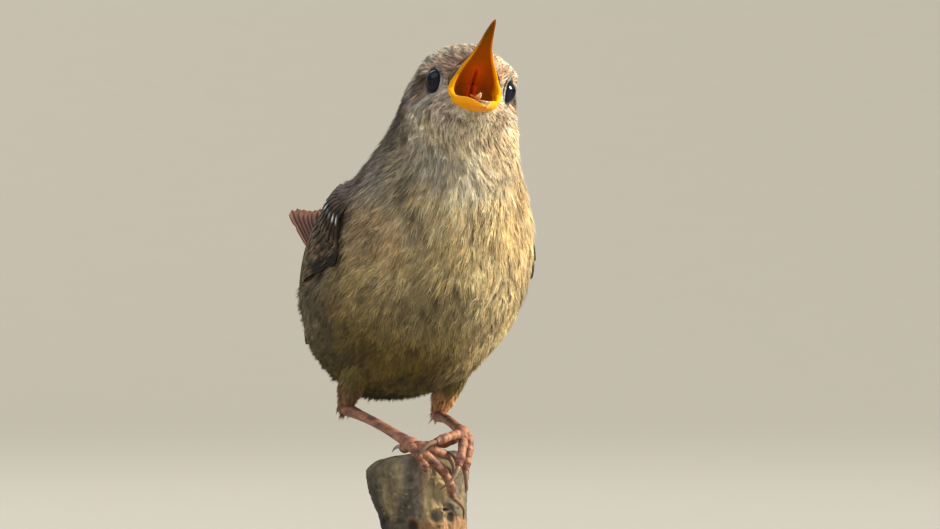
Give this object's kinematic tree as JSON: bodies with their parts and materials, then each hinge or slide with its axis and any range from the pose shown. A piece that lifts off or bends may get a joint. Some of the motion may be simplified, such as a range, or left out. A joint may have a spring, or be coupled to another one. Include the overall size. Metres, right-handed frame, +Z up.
{
  "type": "wren",
  "caption": "Singing wren with open bill and cocked tail, perched on the top of a cut stick on a small round display stand.",
  "frame": {"origin": "centre of the stand's underside, which is also under the middle of the stick", "axes": "+Z up; the bird's breast faces -Y and its left side is +X; the tail is cocked up and back towards +Y"},
  "size_m": [0.08, 0.08, 0.1179],
  "materials": {
    "plumage": "soft layered body feathers, pale buff below and brown above, matt",
    "wing_feathers": "flight feathers and coverts, dark brown with buff bars, slight sheen",
    "tail_feathers": "tail feathers, reddish brown with narrow dark bars, slight sheen",
    "bill": "horn, orange-yellow below and at the gape, dark brown ridge and tip, smooth",
    "mouth": "moist orange flesh",
    "eye": "polished near-black dome",
    "leg_skin": "pinkish brown scaly skin, slight sheen",
    "claw_horn": "grey-brown horn, paler along the edge",
    "bark": "grey-olive bark with pale specks and a peeling orange-brown patch, rough",
    "stand_wood": "dark stained turned wood, satin varnish",
    "stand_brass": "satin brass"
  },
  "bodies": {
    "root": {"torso": "plumage", "neck": "plumage", "head": "plumage", "thigh_right": "plumage", "thigh_left": "plumage", "eye_right": "eye", "eye_left": "eye", "bill_upper": "bill", "bill_lower": "bill", "tongue": "mouth", "wing_right": "wing_feathers", "wing_left": "wing_feathers", "tail": "tail_feathers", "shank_right": "leg_skin", "shank_left": "leg_skin", "foot_right": "leg_skin", "foot_left": "leg_skin", "perch": "bark", "stand_base": "stand_wood", "stand_rod": "stand_brass", "claw_right_outer": "claw_horn", "claw_right_middle": "claw_horn", "claw_right_inner": "claw_horn", "claw_right_hind": "claw_horn", "claw_left_outer": "claw_horn", "claw_left_middle": "claw_horn", "claw_left_inner": "claw_horn", "claw_left_hind": "claw_horn"}
  },
  "joints": []
}
